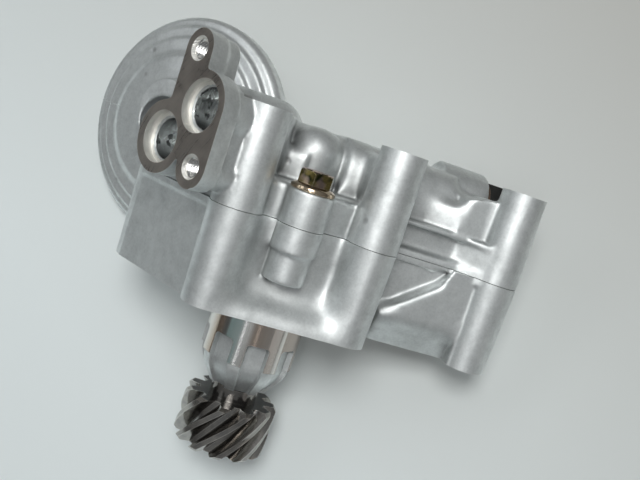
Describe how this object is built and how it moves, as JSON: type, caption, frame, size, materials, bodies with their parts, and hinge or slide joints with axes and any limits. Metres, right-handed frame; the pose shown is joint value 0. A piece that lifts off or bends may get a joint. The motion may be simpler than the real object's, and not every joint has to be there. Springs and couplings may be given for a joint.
{
  "type": "engine oil pump",
  "caption": "Shaft-driven rotor oil pump with helical drive gear, side port pad, relief and bypass valves and a round oil filter head.",
  "frame": {"origin": "on the drive shaft's axis, in the plane of the mounting face", "axes": "+Z along the shaft from the mounting face towards the cover, +X from the left bolt boss to the middle one, -Y the front"},
  "size_m": [0.1513, 0.1122, 0.1397],
  "materials": {
    "cast_aluminium": "satin, as die-cast",
    "gear_steel": "dark oiled hardened steel with bright tooth edges",
    "ground_steel": "ground bright",
    "sintered_iron": "sintered and ground",
    "bronze": "bored bronze",
    "yellow_zinc": "yellow zinc plated",
    "copper": "annealed copper",
    "spring_steel": "drawn wire",
    "plain_zinc": "zinc plated"
  },
  "bodies": {
    "housing": {"pump_body": "cast_aluminium", "pump_cover": "cast_aluminium", "body_bush": "bronze", "cover_bush": "bronze", "cover_bolt": "yellow_zinc", "dowel_pins": "ground_steel", "relief_plug": "plain_zinc", "plug_washer": "copper", "relief_spring": "spring_steel", "filter_stud": "plain_zinc", "bypass_seat": "ground_steel", "bypass_spring": "spring_steel"},
    "drive": {"drive_shaft": "ground_steel", "drive_gear": "gear_steel", "thrust_collar": "ground_steel", "rotor_pin": "ground_steel", "inner_rotor": "sintered_iron"},
    "ring": {"outer_rotor": "sintered_iron"},
    "plunger": {"relief_plunger": "ground_steel"},
    "bypass": {"bypass_disc": "ground_steel"}
  },
  "joints": [
    {"name": "shaft_spin", "type": "hinge", "parent": "housing", "child": "drive", "pos_m": [0, 0, 0], "axis": [0, 0, 1], "continuous": true},
    {"name": "ring_spin", "type": "hinge", "parent": "housing", "child": "ring", "pos_m": [0.0026, 0, 0.02], "axis": [0, 0, 1], "continuous": true},
    {"name": "relief_lift", "type": "slide", "parent": "housing", "child": "plunger", "axis": [1, 0, 0], "range_m": [0, 0.006], "stiffness_N_per_m": 2500, "springref_m": -0.01, "deforming": ["relief_spring"]},
    {"name": "bypass_lift", "type": "slide", "parent": "housing", "child": "bypass", "axis": [-0.6374, -0.7705, 0], "range_m": [0, 0.0025], "stiffness_N_per_m": 600, "springref_m": -0.003, "deforming": ["bypass_spring"]}
  ],
  "couplings": [
    {"joint": "ring_spin", "follows": "shaft_spin", "ratio": 0.8}
  ]
}
